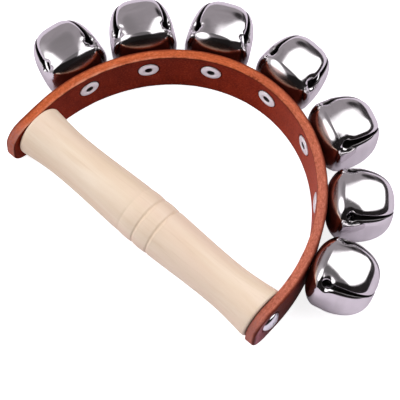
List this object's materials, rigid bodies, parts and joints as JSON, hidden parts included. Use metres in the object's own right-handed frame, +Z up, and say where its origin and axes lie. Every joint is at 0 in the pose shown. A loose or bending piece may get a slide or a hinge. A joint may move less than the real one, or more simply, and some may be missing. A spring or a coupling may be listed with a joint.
{
  "type": "hand jingle",
  "caption": "D-shaped hand jingle: turned wooden handle closed by a stiff leather arch with a row of riveted four-petal bells, each with a loose ball, shaken to ring.",
  "frame": {"origin": "on the ground under the middle of the whole jingle as it lies flat", "axes": "+X along the handle to the right screw, +Y from the handle to the top of the arch, +Z up"},
  "size_m": [0.1764, 0.1188, 0.0284],
  "materials": {
    "handle_wood": "pale turned hardwood, clear satin lacquer",
    "strap_leather": "red-brown harness leather, smooth outer face, tan cut edges",
    "bell_nickel": "bright nickel plate, mirror",
    "rivet_nickel": "nickel plate, satin from wear",
    "screw_nickel": "nickel plate, bright",
    "pellet_steel": "plain steel ball, dulled"
  },
  "bodies": {
    "frame": {"handle": "handle_wood", "strap": "strap_leather", "bell_rivet_1": "rivet_nickel", "bell_rivet_2": "rivet_nickel", "bell_rivet_3": "rivet_nickel", "bell_rivet_4": "rivet_nickel", "bell_rivet_5": "rivet_nickel", "bell_rivet_6": "rivet_nickel", "bell_rivet_7": "rivet_nickel", "handle_screw_left": "screw_nickel", "handle_screw_right": "screw_nickel"},
    "bell_1": {"bell_shell_1": "bell_nickel"},
    "pellet_1": {"bell_pellet_1": "pellet_steel"},
    "bell_2": {"bell_shell_2": "bell_nickel"},
    "pellet_2": {"bell_pellet_2": "pellet_steel"},
    "bell_3": {"bell_shell_3": "bell_nickel"},
    "pellet_3": {"bell_pellet_3": "pellet_steel"},
    "bell_4": {"bell_shell_4": "bell_nickel"},
    "pellet_4": {"bell_pellet_4": "pellet_steel"},
    "bell_5": {"bell_shell_5": "bell_nickel"},
    "pellet_5": {"bell_pellet_5": "pellet_steel"},
    "bell_6": {"bell_shell_6": "bell_nickel"},
    "pellet_6": {"bell_pellet_6": "pellet_steel"},
    "bell_7": {"bell_shell_7": "bell_nickel"},
    "pellet_7": {"bell_pellet_7": "pellet_steel"}
  },
  "joints": [
    {"name": "bell_turn_1", "type": "hinge", "parent": "frame", "child": "bell_1", "pos_m": [-0.06132, -0.01664, 0.0144], "axis": [-0.9559, 0.2937, 0], "continuous": true},
    {"name": "pellet_rattle_1", "type": "slide", "parent": "bell_1", "child": "pellet_1", "axis": [0, 0, 1], "range_m": [0, 0.0168]},
    {"name": "bell_turn_2", "type": "hinge", "parent": "frame", "child": "bell_2", "pos_m": [-0.04857, 0.0079, 0.0144], "axis": [-0.7858, 0.6185, 0], "continuous": true},
    {"name": "pellet_rattle_2", "type": "slide", "parent": "bell_2", "child": "pellet_2", "axis": [0, 0, 1], "range_m": [0, 0.0168]},
    {"name": "bell_turn_3", "type": "hinge", "parent": "frame", "child": "bell_3", "pos_m": [-0.0272, 0.02577, 0.0144], "axis": [-0.461, 0.8874, 0], "continuous": true},
    {"name": "pellet_rattle_3", "type": "slide", "parent": "bell_3", "child": "pellet_3", "axis": [0, 0, 1], "range_m": [0, 0.0168]},
    {"name": "bell_turn_4", "type": "hinge", "parent": "frame", "child": "bell_4", "pos_m": [0.00002, 0.0325, 0.0144], "axis": [0, 1, 0], "continuous": true},
    {"name": "pellet_rattle_4", "type": "slide", "parent": "bell_4", "child": "pellet_4", "axis": [0, 0, 1], "range_m": [0, 0.0168]},
    {"name": "bell_turn_5", "type": "hinge", "parent": "frame", "child": "bell_5", "pos_m": [0.02725, 0.02577, 0.0144], "axis": [0.461, 0.8874, 0], "continuous": true},
    {"name": "pellet_rattle_5", "type": "slide", "parent": "bell_5", "child": "pellet_5", "axis": [0, 0, 1], "range_m": [0, 0.0168]},
    {"name": "bell_turn_6", "type": "hinge", "parent": "frame", "child": "bell_6", "pos_m": [0.04862, 0.0079, 0.0144], "axis": [0.7858, 0.6185, 0], "continuous": true},
    {"name": "pellet_rattle_6", "type": "slide", "parent": "bell_6", "child": "pellet_6", "axis": [0, 0, 1], "range_m": [0, 0.0168]},
    {"name": "bell_turn_7", "type": "hinge", "parent": "frame", "child": "bell_7", "pos_m": [0.06136, -0.01664, 0.0144], "axis": [0.9559, 0.2937, 0], "continuous": true},
    {"name": "pellet_rattle_7", "type": "slide", "parent": "bell_7", "child": "pellet_7", "axis": [0, 0, 1], "range_m": [0, 0.0168]}
  ]
}
